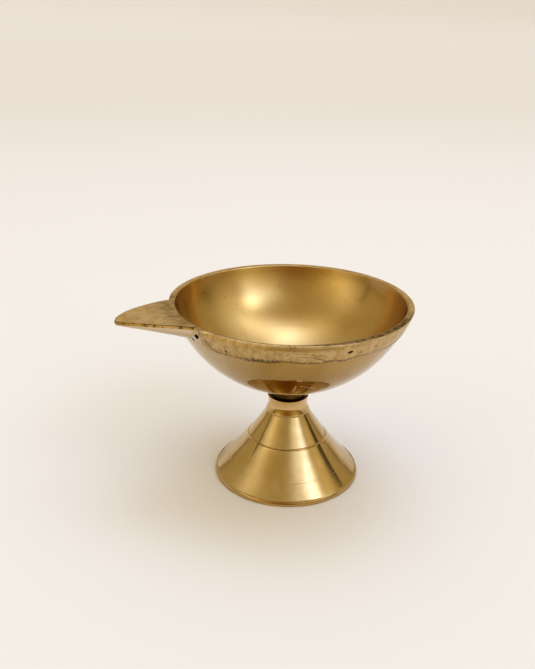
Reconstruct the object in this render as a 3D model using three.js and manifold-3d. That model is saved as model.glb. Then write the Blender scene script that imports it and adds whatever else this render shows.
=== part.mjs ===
// A small brass oil lamp: a cast bowl with a leaf-shaped handle, screwed to a hollow turned pedestal.
// Millimetres, +Z up. The handle points along -X, and z = 0 is the face that the foot rests on.
// The origin is the middle of the lamp's outline seen from above, so the turning axis stands at
// x = axisX.
import * as THREE from "three";
import { mergeVertices } from "three/addons/utils/BufferGeometryUtils.js";
import Module from "manifold-3d";

// Bowl
const rimRadius = 35;
const rimHeight = 55.2;
const rimFaceWidth = 2;
const undersideRadius = 35.3;
const insideRadius = 33;
const floorThickness = 2.7;
const wallTurnAngle = THREE.MathUtils.degToRad(55.6);

// Unturned band below the rim, which the lathe tool can't reach past the handle
const bandHeight = 5.2;
const bandStandOff = 0.25;

// Handle
const handleReach = 50.5;
const handleRootDistance = 33.3;
const handleBackWidth = 10.4;
const handleFrontWidth = 11.4;
const handleRootDepth = 5.6;
const handleTipDepth = 1.25;
const handleEdgeDepth = 0.9;
const handleRootFlare = 0.4;
const handleTipOffset = 1.5;
const leafBackFullness = 1.3;
const leafFrontFullness = 0.85;
const leafRoundness = 0.62;
const tipSkewPower = 5;

// Boss under the bowl, and the thread that joins bowl and pedestal
const bossRadius = 5.2;
const bossHeight = 3.45;
const threadRadius = 3;
const threadClearance = 0.05;
const threadReachInBowl = 4;
const threadReachInNeck = 8;
const holeEndClearance = 0.4;

// Pedestal
const footRadius = 22;
const footLipHeight = 1.3;
const footLipTaper = 0.35;
const footLipStep = 0.38;
const coneTopRadius = 6.25;
const coneTopHeight = 20.8;
const coneFlareRadius = 127;
const pedestalWall = 2;
const hollowHeight = 14.8;
const neckHeight = 4.65;
const neckWaistRadius = 5.45;
const neckTopRadius = 6;
const neckTopBevel = 0.3;

// Rings cut into the cone with a pointed tool: height above the table, width and depth
const grooveHeight = 12.7;
const grooveWidth = 0.7;
const grooveDepth = 0.35;
const scribeHeight = 5.1;
const scribeWidth = 0.5;
const scribeDepth = 0.12;

// Fineness of the facets
const turnSteps = 72;
const arcStep = THREE.MathUtils.degToRad(6);
const upperSteps = 5;
const flareSteps = 8;
const leafStations = 18;
const keelSteps = 12;
const skin = 1;

const axisX = (handleReach - rimRadius) / 2;
const neckTopHeight = coneTopHeight + neckHeight;
const undersideHeight = neckTopHeight + bossHeight;

const wasm = await Module();
wasm.setup();

// Points on an arc, from one angle to another, with angles counted from straight down. An arc with
// a negative radius bends the other way.
function arcPoints(centre, radius, from, to, steps) {
  const points = [];
  for (let i = 0; i <= steps; i++) {
    const angle = from + ((to - from) * i) / steps;
    const x = centre.x + radius * Math.sin(angle);
    const y = centre.y - radius * Math.cos(angle);
    points.push(new THREE.Vector2(x, y));
  }
  return points;
}

// The angle at which an arc passes a point.
function angleOnArc(point, centre, radius) {
  return Math.atan2((point.x - centre.x) / radius, (centre.y - point.y) / radius);
}

// A hollow arc between two points of a profile, with its centre outside the profile.
function hollowArc(low, high, radius) {
  const chord = high.clone().sub(low);
  const middle = low.clone().add(high).multiplyScalar(0.5);
  const outward = new THREE.Vector2(chord.y, -chord.x).normalize();
  const drop = Math.sign(radius) * Math.sqrt(radius ** 2 - chord.lengthSq() / 4);
  const centre = middle.addScaledVector(outward, drop);
  const from = angleOnArc(low, centre, radius);
  const to = angleOnArc(high, centre, radius);
  return arcPoints(centre, radius, from, to, flareSteps);
}

// The bowl's section as two arcs that run into each other: a lower one centred on the axis, and a
// flatter one from there up to the rim. Round a wide or low rim the second arc bends outward, and
// its radius is negative.
function bowlCurve(bottomHeight, lowerRadius, topRadius) {
  const lowerCentre = new THREE.Vector2(0, bottomHeight + lowerRadius);
  const lowerSteps = Math.round(wallTurnAngle / arcStep);
  const lower = arcPoints(lowerCentre, lowerRadius, 0, wallTurnAngle, lowerSteps);
  const joint = lower[lower.length - 1];
  const across = topRadius - joint.x;
  const up = rimHeight - joint.y;
  const sine = Math.sin(wallTurnAngle);
  const cosine = Math.cos(wallTurnAngle);
  const upperRadius = (across ** 2 + up ** 2) / (2 * (up * cosine - across * sine));
  const upperCentre = new THREE.Vector2(joint.x - upperRadius * sine, joint.y + upperRadius * cosine);
  const rim = new THREE.Vector2(topRadius, rimHeight);
  const rimAngle = angleOnArc(rim, upperCentre, upperRadius);
  const upper = arcPoints(upperCentre, upperRadius, wallTurnAngle, rimAngle, upperSteps);
  return [...lower, ...upper.slice(1)];
}

// The point where a line of points, rising in z, passes a height or a radius.
function pointAt(points, axis, value) {
  const i = points.findIndex((p, k) => k > 0 && p[axis] >= value && points[k - 1][axis] < value);
  const before = points[i - 1];
  const share = (value - before[axis]) / (points[i][axis] - before[axis]);
  return before.clone().lerp(points[i], share);
}

// A closed line of points turned about the upright axis.
function turned(points) {
  const geometry = new THREE.LatheGeometry(points, turnSteps);
  return geometry.rotateX(Math.PI / 2);
}

// A round bar on the upright axis between two heights.
function bar(radius, low, high) {
  const geometry = new THREE.CylinderGeometry(radius, radius, high - low, turnSteps);
  return geometry.rotateX(Math.PI / 2).translate(0, 0, (low + high) / 2);
}

// A closed geometry as a solid that can be joined and cut.
function solid(geometry) {
  const bare = geometry.clone();
  bare.deleteAttribute("normal");
  bare.deleteAttribute("uv");
  const merged = mergeVertices(bare, 1e-4);
  const vertProperties = merged.attributes.position.array;
  const triVerts = new Uint32Array(merged.index.array);
  return new wasm.Manifold(new wasm.Mesh({ numProp: 3, vertProperties, triVerts }));
}

// A named part from a finished solid.
function part(name, shape, material) {
  const { numProp, vertProperties, triVerts } = shape.getMesh();
  const geometry = new THREE.BufferGeometry();
  geometry.setAttribute("position", new THREE.BufferAttribute(vertProperties, numProp));
  geometry.setIndex(new THREE.BufferAttribute(triVerts, 1));
  const flat = geometry.toNonIndexed();
  flat.computeVertexNormals();
  const mesh = new THREE.Mesh(flat, material);
  mesh.name = name;
  return mesh;
}

// The outside of the bowl as a full body of revolution, standing on its boss.
function bowlOutside() {
  const turnedWall = bowlCurve(undersideHeight, undersideRadius, rimRadius - bandStandOff);
  const bandFoot = pointAt(turnedWall, "y", rimHeight - bandHeight);
  const bossTop = pointAt(turnedWall, "x", bossRadius);
  const wall = turnedWall.filter((p) => p.x > bossRadius && p.y < bandFoot.y);
  const band = turnedWall
    .filter((p) => p.y > bandFoot.y)
    .map((p) => new THREE.Vector2(p.x + bandStandOff, p.y));
  const bandEdge = new THREE.Vector2(bandFoot.x + bandStandOff, bandFoot.y + bandStandOff);
  return solid(
    turned([
      new THREE.Vector2(0, neckTopHeight),
      new THREE.Vector2(bossRadius, neckTopHeight),
      bossTop,
      ...wall,
      bandFoot,
      bandEdge,
      ...band,
      new THREE.Vector2(0, rimHeight),
    ]),
  );
}

// The hollow for the oil, open at the top.
function bowlInside() {
  const curve = bowlCurve(undersideHeight + floorThickness, insideRadius, rimRadius - rimFaceWidth);
  const above = rimHeight + skin;
  const top = curve[curve.length - 1];
  return solid(
    turned([...curve, new THREE.Vector2(top.x, above), new THREE.Vector2(0, above)]),
  );
}

// Half the handle's width, the sideways place of its middle and its depth, at a distance from the
// axis. The leaf's back edge bulges, its front edge is almost straight, and its tip leans to the
// front. Inside its root both edges flare on into the bowl's wall.
function leafAt(distance) {
  const run = (distance - handleRootDistance) / (handleReach - handleRootDistance);
  const share = THREE.MathUtils.clamp(run, 0, 1);
  const flare = handleRootFlare * Math.max(handleRootDistance - distance, 0);
  const back = handleBackWidth * (1 - share ** leafBackFullness) ** leafRoundness + flare;
  const front = handleFrontWidth * (1 - share ** leafFrontFullness) ** leafRoundness + flare;
  const lean = handleTipOffset * share ** tipSkewPower;
  const depth = THREE.MathUtils.lerp(handleRootDepth, handleTipDepth, share);
  return { halfWidth: (back + front) / 2, middle: (back - front) / 2 - lean, depth };
}

// One cross-section of the handle: flat on top, a low upright edge, and a rounded keel below.
function handleSection(distance) {
  const { halfWidth, middle, depth } = leafAt(distance);
  const section = [
    [-distance, middle + halfWidth, rimHeight],
    [-distance, middle - halfWidth, rimHeight],
  ];
  for (let i = 0; i <= keelSteps; i++) {
    const angle = (Math.PI * i) / keelSteps;
    const y = middle - halfWidth * Math.cos(angle);
    const z = rimHeight - handleEdgeDepth - (depth - handleEdgeDepth) * Math.sin(angle);
    section.push([-distance, y, z]);
  }
  return section;
}

// The leaf-shaped handle, lofted from inside the bowl's wall out to its rounded tip.
function handle() {
  const length = handleReach - handleRootDistance;
  const widest = Math.max(handleBackWidth, handleFrontWidth);
  const innerEnd = Math.sqrt(insideRadius ** 2 - widest ** 2) - handleRootDepth;
  const sections = [handleSection(innerEnd)];
  for (let i = 0; i <= leafStations; i++) {
    const share = Math.sin(((Math.PI / 2) * i) / (leafStations + 0.5));
    sections.push(handleSection(handleRootDistance + length * share));
  }
  const tip = leafAt(handleReach).middle;
  const noseDepth = (handleTipDepth + handleEdgeDepth) / 2;
  const positions = sections.flat(2);
  const ring = sections[0].length;
  const faces = [];
  for (let s = 0; s + 1 < sections.length; s++) {
    for (let k = 0; k < ring; k++) {
      const a = s * ring + k;
      const b = s * ring + ((k + 1) % ring);
      faces.push(a, a + ring, b, b, a + ring, b + ring);
    }
  }
  const rootCentre = sections.length * ring;
  positions.push(-innerEnd, 0, rimHeight - handleRootDepth / 2);
  positions.push(-handleReach, tip, rimHeight - noseDepth / 2);
  const lastRing = (sections.length - 1) * ring;
  for (let k = 0; k < ring; k++) {
    const next = (k + 1) % ring;
    faces.push(rootCentre, k, next);
    faces.push(rootCentre + 1, lastRing + next, lastRing + k);
  }
  const geometry = new THREE.BufferGeometry();
  geometry.setAttribute("position", new THREE.Float32BufferAttribute(positions, 3));
  geometry.setIndex(faces);
  return solid(geometry);
}

// The bowl: body, handle and boss in one casting, hollowed, with a blind tapped hole below.
function bowl(material) {
  const hole = solid(
    bar(
      threadRadius + threadClearance,
      neckTopHeight - skin,
      neckTopHeight + threadReachInBowl + holeEndClearance,
    ),
  );
  const shape = bowlOutside().add(handle()).subtract(bowlInside()).subtract(hole);
  return part("bowl", shape, material);
}

// A pointed ring cut into a line of points at a height.
function ringCut(points, height, width, depth) {
  const halfRise = width / 2;
  const below = pointAt(points, "y", height - halfRise);
  const above = pointAt(points, "y", height + halfRise);
  const inward = new THREE.Vector2(below.y - above.y, above.x - below.x).normalize();
  const root = below.clone().lerp(above, 0.5).addScaledVector(inward, depth);
  return [
    ...points.filter((p) => p.y < below.y),
    below,
    root,
    above,
    ...points.filter((p) => p.y > above.y),
  ];
}

// The neck's hollow throat as one arc, from the top of the cone to the bevel under the seat. Half
// way up it is as wide as the waist.
function neckCurve(coneTop) {
  const high = new THREE.Vector2(neckTopRadius, neckTopHeight - neckTopBevel);
  const hollow = (coneTop.x + high.x) / 2 - neckWaistRadius;
  const chordSquared = coneTop.distanceToSquared(high);
  const radius = (chordSquared / 4 + hollow ** 2) / (2 * hollow);
  return hollowArc(coneTop, high, radius);
}

// The hollow under the foot: the cone's flare offset by the wall, closed by a flat roof.
function pedestalHollow(coneFoot, coneTop) {
  const outer = hollowArc(coneFoot, coneTop, coneFlareRadius);
  const chord = coneTop.clone().sub(coneFoot);
  const inward = new THREE.Vector2(-chord.y, chord.x).normalize().multiplyScalar(pedestalWall);
  const inner = outer.map((p) => p.clone().add(inward));
  const roof = pointAt(inner, "y", hollowHeight);
  const wall = inner.filter((p) => p.y > 0 && p.y < hollowHeight);
  const first = wall[0];
  return solid(
    turned([
      new THREE.Vector2(0, -skin),
      new THREE.Vector2(footRadius - pedestalWall, -skin),
      new THREE.Vector2(footRadius - pedestalWall, Math.min(footLipHeight, first.y) / 2),
      ...wall,
      roof,
      new THREE.Vector2(0, hollowHeight),
    ]),
  );
}

// The pedestal: foot lip, flared cone with its rings, neck, hollow and through tapped hole.
function pedestal(material) {
  const lipTop = footRadius - footLipTaper;
  const coneFoot = new THREE.Vector2(lipTop - footLipStep, footLipHeight);
  const coneTop = new THREE.Vector2(coneTopRadius, coneTopHeight);
  let cone = hollowArc(coneFoot, coneTop, coneFlareRadius);
  cone = ringCut(cone, grooveHeight, grooveWidth, grooveDepth);
  cone = ringCut(cone, scribeHeight, scribeWidth, scribeDepth);
  const body = solid(
    turned([
      new THREE.Vector2(0, 0),
      new THREE.Vector2(footRadius, 0),
      new THREE.Vector2(lipTop, footLipHeight),
      ...cone,
      ...neckCurve(coneTop).slice(1),
      new THREE.Vector2(neckTopRadius - neckTopBevel, neckTopHeight),
      new THREE.Vector2(0, neckTopHeight),
    ]),
  );
  const hole = solid(
    bar(threadRadius + threadClearance, hollowHeight - skin, neckTopHeight + skin),
  );
  const shape = body.subtract(pedestalHollow(coneFoot, coneTop)).subtract(hole);
  return part("pedestal", shape, material);
}

// The threaded stud that joins the two, at its thread's outer size.
function threadedStud(material) {
  const low = neckTopHeight - threadReachInNeck;
  const high = neckTopHeight + threadReachInBowl;
  return part("threaded_stud", solid(bar(threadRadius, low, high)), material);
}

// Brass as cast and turned, differing only in how each piece is finished.
function brass(color, roughness) {
  return new THREE.MeshStandardMaterial({ color, roughness, metalness: 1 });
}

const lamp = new THREE.Group();
lamp.name = "oil_lamp";
lamp.position.x = axisX;
lamp.add(bowl(brass(0xc9a76b, 0.3)));
lamp.add(threadedStud(brass(0xb8964f, 0.4)));
lamp.add(pedestal(brass(0xd0aa60, 0.22)));

const model = new THREE.Group();
model.add(lamp);

export default model;
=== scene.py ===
"""A small brass oil lamp: a cast bowl with a leaf-shaped handle, screwed to a turned pedestal.

The lamp stands on z = 0 with its handle along -X. Sizes are in metres, and where a name ends in _mm
they are in millimetres.
"""

import math

import bmesh
import bpy
from bpy.props import FloatProperty, FloatVectorProperty, IntProperty, PointerProperty
from mathutils import Matrix, Vector, noise


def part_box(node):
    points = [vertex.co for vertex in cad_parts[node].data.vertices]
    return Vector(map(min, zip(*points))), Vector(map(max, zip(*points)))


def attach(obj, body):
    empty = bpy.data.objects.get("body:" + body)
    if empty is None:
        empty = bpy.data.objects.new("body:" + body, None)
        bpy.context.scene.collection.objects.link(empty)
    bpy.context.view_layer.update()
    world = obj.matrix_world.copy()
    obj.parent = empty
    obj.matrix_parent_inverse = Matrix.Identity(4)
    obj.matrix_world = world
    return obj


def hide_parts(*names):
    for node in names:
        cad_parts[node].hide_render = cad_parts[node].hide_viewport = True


bl_info = {
    "name": "Brass oil lamp",
    "version": (1, 0, 0),
    "blender": (4, 5, 0),
    "location": "View3D > Sidebar > Oil lamp",
    "description": "Builds a cast and turned brass oil lamp, its stage and its camera",
    "category": "Add Mesh",
}

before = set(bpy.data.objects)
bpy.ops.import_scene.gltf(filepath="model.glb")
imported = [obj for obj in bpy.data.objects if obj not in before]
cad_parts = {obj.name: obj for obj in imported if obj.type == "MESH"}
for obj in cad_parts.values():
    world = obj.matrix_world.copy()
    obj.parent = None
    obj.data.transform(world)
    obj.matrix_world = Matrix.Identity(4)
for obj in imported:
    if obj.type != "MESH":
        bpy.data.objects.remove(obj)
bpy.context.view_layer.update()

MM = 0.001
PEDESTAL_LOW, PEDESTAL_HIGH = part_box("pedestal")
BOWL_LOW, BOWL_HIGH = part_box("bowl")
STUD_LOW, STUD_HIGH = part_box("threaded_stud")
AXIS_X = (PEDESTAL_LOW.x + PEDESTAL_HIGH.x) / 2
SEAT = PEDESTAL_HIGH.z
RIM = BOWL_HIGH.z
RIM_RADIUS = BOWL_HIGH.y / MM


# Colours and nodes


def linear(hex_colour):
    """The linear colour of an sRGB hex value such as #c8a466."""
    shades = []
    for i in (1, 3, 5):
        s = int(hex_colour[i : i + 2], 16) / 255
        shades.append(s / 12.92 if s <= 0.04045 else ((s + 0.055) / 1.055) ** 2.4)
    return (*shades, 1.0)


def add(tree, kind, inputs=(), output=0, **settings):
    """Adds a shader node with its settings, its inputs set or linked, and gives one output back."""
    made = tree.nodes.new("ShaderNode" + kind)
    for key, value in settings.items():
        setattr(made, key, value)
    named = inputs.items() if isinstance(inputs, dict) else enumerate(inputs)
    for key, value in named:
        if isinstance(value, bpy.types.NodeSocket):
            tree.links.new(value, made.inputs[key])
        else:
            made.inputs[key].default_value = value
    return made.outputs[output]


# Settings of a Map Range node that eases both ends, and of a Mix node of colours, which takes its
# share as input 0 and the two colours as inputs 6 and 7
SOFTLY = {"interpolation_type": "SMOOTHSTEP"}
IN_COLOUR = {"data_type": "RGBA", "output": 2}


def all_of(tree, *shares):
    """The product of several shares: 1 only where every one of them is."""
    result = shares[0]
    for share in shares[1:]:
        result = add(tree, "Math", [result, share], operation="MULTIPLY")
    return result


def any_of(tree, *shares):
    """The greatest of several shares."""
    result = shares[0]
    for share in shares[1:]:
        result = add(tree, "Math", [result, share], operation="MAXIMUM")
    return result


def metal(tree, output, tone, gloss, height, coat_roughness, relief=0.05, glance=(1, 1, 1, 1)):
    """Brass under thin clear lacquer, with a relief in mm times its height and a tint at a glance."""
    bump = add(tree, "Bump", {"Height": height, "Strength": 1.0, "Distance": relief * MM})
    look = {
        "Base Color": tone,
        "Metallic": 1.0,
        "Roughness": gloss,
        "Specular Tint": glance,
        "Coat Weight": 0.12,
        "Coat Roughness": coat_roughness,
        "Normal": bump,
    }
    tree.links.new(add(tree, "BsdfPrincipled", look), output.inputs[0])


def empty_material(name):
    """A node material with nothing in it but its output."""
    material = bpy.data.materials.new(name)
    material.use_nodes = True
    tree = material.node_tree
    tree.nodes.clear()
    return material, tree, tree.nodes.new("ShaderNodeOutputMaterial")


# Sizes and colours that a user would change


def size(name, description, default_mm):
    return FloatProperty(
        name=name,
        description=description,
        default=default_mm * MM,
        min=0.0,
        precision=5,
        unit="LENGTH",
        subtype="DISTANCE",
    )


def colour(name, description, default):
    return FloatVectorProperty(
        name=name,
        description=description,
        default=linear(default),
        size=4,
        min=0.0,
        max=1.0,
        subtype="COLOR",
    )


class OilLampBowl(bpy.types.PropertyGroup):
    rim_radius: size("Rim radius", "Outside radius at the rim", RIM_RADIUS)
    rim_face: size("Rim face", "Width of the flat face of the rim", 2.0)
    underside_radius: size("Underside radius", "Radius of the lower arc outside", 35.3)
    inside_radius: size("Inside radius", "Radius of the lower arc inside", 38.0)
    floor_thickness: size("Floor", "Thickness of the casting at the bottom", 2.7)
    boss_radius: size("Boss radius", "Radius of the boss that seats on the neck", 5.2)
    boss_height: size("Boss height", "Height of the bowl's bottom over the seat", 3.45)
    band_height: size("Band height", "Height of the filed band under the rim", 5.2)
    band_step: size("Band step", "How far the band stands proud of the turned wall", 0.25)
    outside_turn: FloatProperty(
        name="Outside turn",
        description="Angle at which the lower arc outside gives way to the upper one",
        default=math.radians(55.6),
        subtype="ANGLE",
    )
    inside_turn: FloatProperty(
        name="Inside turn",
        description="Angle at which the lower arc inside gives way to the upper one",
        default=math.radians(35.0),
        subtype="ANGLE",
    )
    steps: IntProperty(name="Steps", description="Steps round the bowl", default=288, min=48)


class OilLampHandle(bpy.types.PropertyGroup):
    reach: size("Reach", "Distance of the tip from the axis", (AXIS_X - BOWL_LOW.x) / MM)
    root: size("Root", "Distance from the axis at which the leaf begins", 33.3)
    back_width: size("Back width", "Width from the middle line to the bulging edge", 10.4)
    front_width: size("Front width", "Width from the middle line to the straight edge", 11.4)
    root_depth: size("Root depth", "Depth of the keel at the root", 5.6)
    tip_depth: size("Tip depth", "Depth of the keel at the tip", 1.25)
    edge_depth: size("Edge depth", "Height of the upright edge", 0.9)
    tip_offset: size("Tip offset", "How far the tip leans to the front", 1.5)
    stations: IntProperty(name="Stations", description="Sections of the loft", default=40, min=8)


class OilLampPedestal(bpy.types.PropertyGroup):
    foot_radius: size("Foot radius", "Outside radius of the foot", PEDESTAL_HIGH.y / MM)
    lip_height: size("Lip height", "Height of the foot lip", 1.3)
    cone_top_radius: size("Cone top radius", "Radius where the cone meets the neck", 6.43)
    cone_top_height: size("Cone top height", "Height where the cone meets the neck", 20.4)
    flare_radius: size("Flare radius", "Radius of the cone's hollow flare", 127.0)
    wall: size("Wall", "Thickness of the cone's wall", 2.0)
    hollow_height: size("Hollow height", "Height of the hollow under the foot", 14.8)
    waist_radius: size("Waist radius", "Smallest radius of the neck", 5.82)
    neck_flare: size("Neck flare", "Radius of the hollow flare at the neck's foot", 11.5)
    seat_radius: size("Seat radius", "Radius of the neck's top", 6.15)
    groove_height: size("Groove height", "Height of the V-groove", 12.7)
    scribe_height: size("Scribed ring height", "Height of the fine scribed ring", 5.1)
    thread_radius: size("Thread radius", "Outside radius of the joining thread", 3.0)
    thread_pitch: size("Thread pitch", "Pitch of the joining thread", 1.0)
    steps: IntProperty(name="Steps", description="Steps round the pedestal", default=288, min=48)


class OilLampFinish(bpy.types.PropertyGroup):
    bright: colour("Bright brass", "Clean turned brass", "#bd9b5e")
    aged: colour("Aged brass", "Brass that has gone a little brown", "#a47f3a")
    rubbed: colour("Rubbed brass", "Clean brass of the pedestal, a little paler", "#c2a571")
    # Paler than the rubbed brass: a painted reflection of the bright floor in the neck.
    neck: colour("Neck with painted sheen", "Paler brass of the neck, a painted reflection of the floor", "#dab881")
    scraped: colour("Scraped brass", "Pale scraped brass under the handle", "#ccb794")
    filed: colour("Filed brass", "Brass as the file left it", "#cdae76")
    # Paler than the filed brass: the flat tops are lit paler as painted light from above.
    flat: colour("Flat filed brass", "Matt brass on the handle's top and the rim's face", "#e1c89a")
    cast: colour("Cast brass", "Casting skin on the handle's edge", "#cca25a")
    # This dark is also the painted shade in the joint, in the crook's slit, round one pit and on the
    # handle's top by the rim.
    dirt_and_painted_shade: colour("Dirt", "Old oil and oxide in pits and scratches", "#40290f")
    floor: colour("Floor", "Pale floor near the lamp", "#f3efe9")
    # Darker than the floor near the lamp: painted fall-off of the light away from the lamp.
    floor_far_painted_shade: colour("Far floor", "Floor towards the horizon", "#e7dfd5")


# Modelling


def start_at_a_point(name, point):
    """A new object in edit mode, holding one selected point."""
    if bpy.context.object and bpy.context.object.mode != "OBJECT":
        bpy.ops.object.mode_set(mode="OBJECT")
    bpy.ops.object.select_all(action="DESELECT")
    bpy.ops.mesh.primitive_plane_add(size=MM, location=(0, 0, 0))
    made = bpy.context.object
    made.name = made.data.name = name
    bpy.ops.object.mode_set(mode="EDIT")
    bpy.ops.mesh.merge(type="CENTER")
    bpy.ops.transform.translate(value=point)
    return made


def draw_on(points):
    """Extrudes the selected point through the next ones. The first is where it stands."""
    for before, after in zip(points, points[1:]):
        step = Vector(after) - Vector(before)
        bpy.ops.mesh.extrude_region_move(TRANSFORM_OT_translate={"value": step})


def turn_on_the_lathe(name, profile, steps, closed=False):
    """A body of revolution from a profile of (radius, height) points in millimetres."""
    points = [Vector((AXIS_X + r * MM, 0, z * MM)) for r, z in profile]
    if closed:
        points.append(points[0])
    made = start_at_a_point(name, points[0])
    draw_on(points)
    bpy.ops.mesh.select_all(action="SELECT")
    bpy.ops.mesh.spin(steps=steps, angle=math.tau, center=(AXIS_X, 0, 0), axis=(0, 0, 1))
    weld_and_face_out()
    bpy.ops.object.mode_set(mode="OBJECT")
    return made


def weld_and_face_out():
    """Merges the seam and poles of the mesh in edit mode, and turns its faces outwards."""
    bpy.ops.mesh.select_all(action="SELECT")
    bpy.ops.mesh.remove_doubles(threshold=1e-6)
    bpy.ops.mesh.normals_make_consistent(inside=False)


def arc(centre, radius, start, end, count):
    """Points on an arc in (radius, height), with angles counted from straight down."""
    angles = [start + (end - start) * i / count for i in range(count + 1)]
    return [(centre[0] + radius * math.sin(a), centre[1] - radius * math.cos(a)) for a in angles]


def hollow_arc(low, high, radius, count):
    """An arc between two points of a profile that bends towards the axis."""
    across, up = high[0] - low[0], high[1] - low[1]
    chord = math.hypot(across, up)
    drop = math.sqrt(radius**2 - chord**2 / 4) / chord
    centre = ((low[0] + high[0]) / 2 + up * drop, (low[1] + high[1]) / 2 - across * drop)
    start = math.atan2(low[0] - centre[0], centre[1] - low[1])
    end = math.atan2(high[0] - centre[0], centre[1] - high[1])
    return arc(centre, radius, start, end, count)


def smooth(share):
    """0 to 1 with level ends."""
    share = min(max(share, 0.0), 1.0)
    return share * share * (3 - 2 * share)


def select_faces(obj, wanted):
    """Selects in edit mode the faces that the test accepts, by centre and normal."""
    mesh = bmesh.from_edit_mesh(obj.data)
    for face in mesh.faces:
        face.select_set(wanted(face.calc_center_median(), face.normal))
    mesh.select_flush_mode()
    bmesh.update_edit_mesh(obj.data)


def only(obj):
    """Makes one object the selected and active one."""
    bpy.ops.object.select_all(action="DESELECT")
    bpy.context.view_layer.objects.active = obj
    obj.select_set(True)


def finish_faces(obj, slot, wanted):
    """Gives the wanted faces the material in a slot."""
    only(obj)
    bpy.ops.object.mode_set(mode="EDIT")
    bpy.ops.mesh.select_mode(type="FACE")
    select_faces(obj, wanted)
    obj.active_material_index = slot
    bpy.ops.object.material_slot_assign()
    bpy.ops.mesh.select_mode(type="VERT")
    bpy.ops.object.mode_set(mode="OBJECT")


def wear(obj, materials):
    for material in materials:
        obj.data.materials.append(material)


def join_or_cut(obj, tool, operation):
    """Joins a tool's solid to a piece or cuts it out, and removes the tool."""
    only(obj)
    bpy.ops.object.modifier_add(type="BOOLEAN")
    modifier = obj.modifiers[-1]
    modifier.object = tool
    modifier.operation = operation
    modifier.solver = "EXACT"
    bpy.ops.object.modifier_apply(modifier=modifier.name)
    bpy.data.objects.remove(tool)


def join_objects(objs):
    bpy.ops.object.select_all(action="DESELECT")
    for obj in objs:
        obj.select_set(True)
    bpy.context.view_layer.objects.active = objs[0]
    bpy.ops.object.join()
    return objs[0]


def soften(obj, angle=32):
    """Smooth shading up to an angle, with flat faces kept flat beside their rounded edges."""
    only(obj)
    bpy.ops.object.shade_smooth_by_angle(angle=math.radians(angle))
    bpy.ops.object.modifier_add(type="WEIGHTED_NORMAL")
    obj.modifiers[-1].keep_sharp = True
    bpy.ops.object.modifier_apply(modifier=obj.modifiers[-1].name)


# The bowl's wall

# Depth of the band's lower edge under the rim in millimetres, by angle round the axis in degrees.
# It wanders, because the turning tool was run up to the casting by hand.
BAND_EDGE = (
    (-180, 0.0), (-156.5, 0.0), (-155.2, 3.0), (-154.8, 5.9), (-150.8, 5.95), (-145, 5.6),
    (-139.9, 5.35), (-133.1, 5.55), (-129.8, 5.65), (-124.1, 5.4), (-120.5, 5.65), (-116, 4.85),
    (-110.7, 4.95), (-107.2, 5.35), (-102.2, 5.4), (-97.4, 5.5), (-93.2, 5.05), (-86.7, 5.6),
    (-83.3, 5.05), (-78.5, 4.9), (-72.5, 4.95), (-67, 5.1), (-63.1, 5.6), (-53.5, 5.6),
    (-44, 5.4), (15, 5.2), (60, 4.9), (105, 5.2), (150, 4.8), (158, 0.0),
    (180, 0.0),
)


def band_edge_depth(angle_deg):
    for (a, low), (b, high) in zip(BAND_EDGE, BAND_EDGE[1:]):
        if angle_deg <= b:
            return low + (high - low) * (angle_deg - a) / (b - a)
    return BAND_EDGE[-1][1]


def wall_arcs(bottom, lower_radius, top_radius, turn, rim):
    """The two arcs of the wall as (centre radius, centre height, radius), the lower one first."""
    joint = (lower_radius * math.sin(turn), bottom + lower_radius * (1 - math.cos(turn)))
    across, up = top_radius - joint[0], rim - joint[1]
    upper = (across**2 + up**2) / (2 * (up * math.cos(turn) - across * math.sin(turn)))
    centre = (joint[0] - upper * math.sin(turn), joint[1] + upper * math.cos(turn))
    return joint[1], (0.0, bottom + lower_radius, lower_radius), (*centre, upper)


def wall_radius(arcs, height):
    joint, lower, upper = arcs
    centre_r, centre_z, radius = lower if height < joint else upper
    return centre_r + math.sqrt(max(radius**2 - (centre_z - height) ** 2, 0.0))


def wall_profile(arcs, start_radius, top, count_low, count_high):
    """Points of the wall from a radius near its bottom up to a height."""
    joint, lower, upper = arcs
    start = math.asin(start_radius / lower[2])
    turn = math.acos((lower[1] - joint) / lower[2])
    low = arc(lower[:2], lower[2], start, turn, count_low)
    end = math.acos((upper[1] - top) / upper[2])
    high = arc(upper[:2], upper[2], turn, end, count_high)
    return low + high[1:]


# Slots of the bowl's finishes after the first, which the hollow keeps
TURNED, FLAT, CAST, PITTED, GRIMY_AND_SHADED = range(1, 6)


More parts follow.
